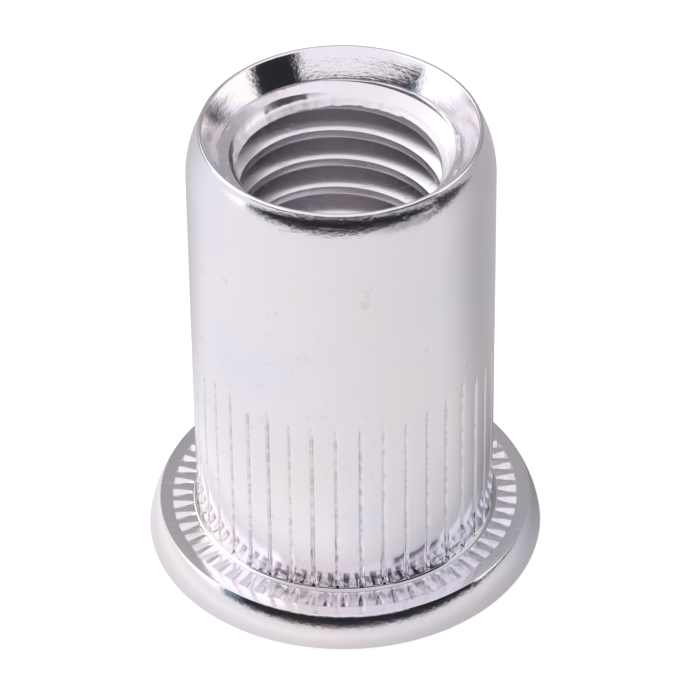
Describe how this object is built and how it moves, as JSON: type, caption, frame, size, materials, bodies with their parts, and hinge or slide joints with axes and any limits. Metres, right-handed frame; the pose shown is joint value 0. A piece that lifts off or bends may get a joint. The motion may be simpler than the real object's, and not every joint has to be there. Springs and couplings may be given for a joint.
{
  "type": "rivet nut",
  "caption": "Blind rivet nut: flat round head, ribbed thin-walled shank that collapses when set, and an open nose with a coarse metric internal thread.",
  "frame": {"origin": "centre of the head's flat face, on the axis of the bore", "axes": "+Z along the bore axis from the head towards the open threaded nose; X and Y lie in the head's face, and the piece is the same all round apart from its ribs and serrations"},
  "size_m": [0.0172, 0.0172, 0.0213],
  "materials": {
    "plated_steel": "bright zinc plate with a faint blue passivation"
  },
  "bodies": {
    "root": {"rivet_nut": "plated_steel"}
  },
  "joints": []
}
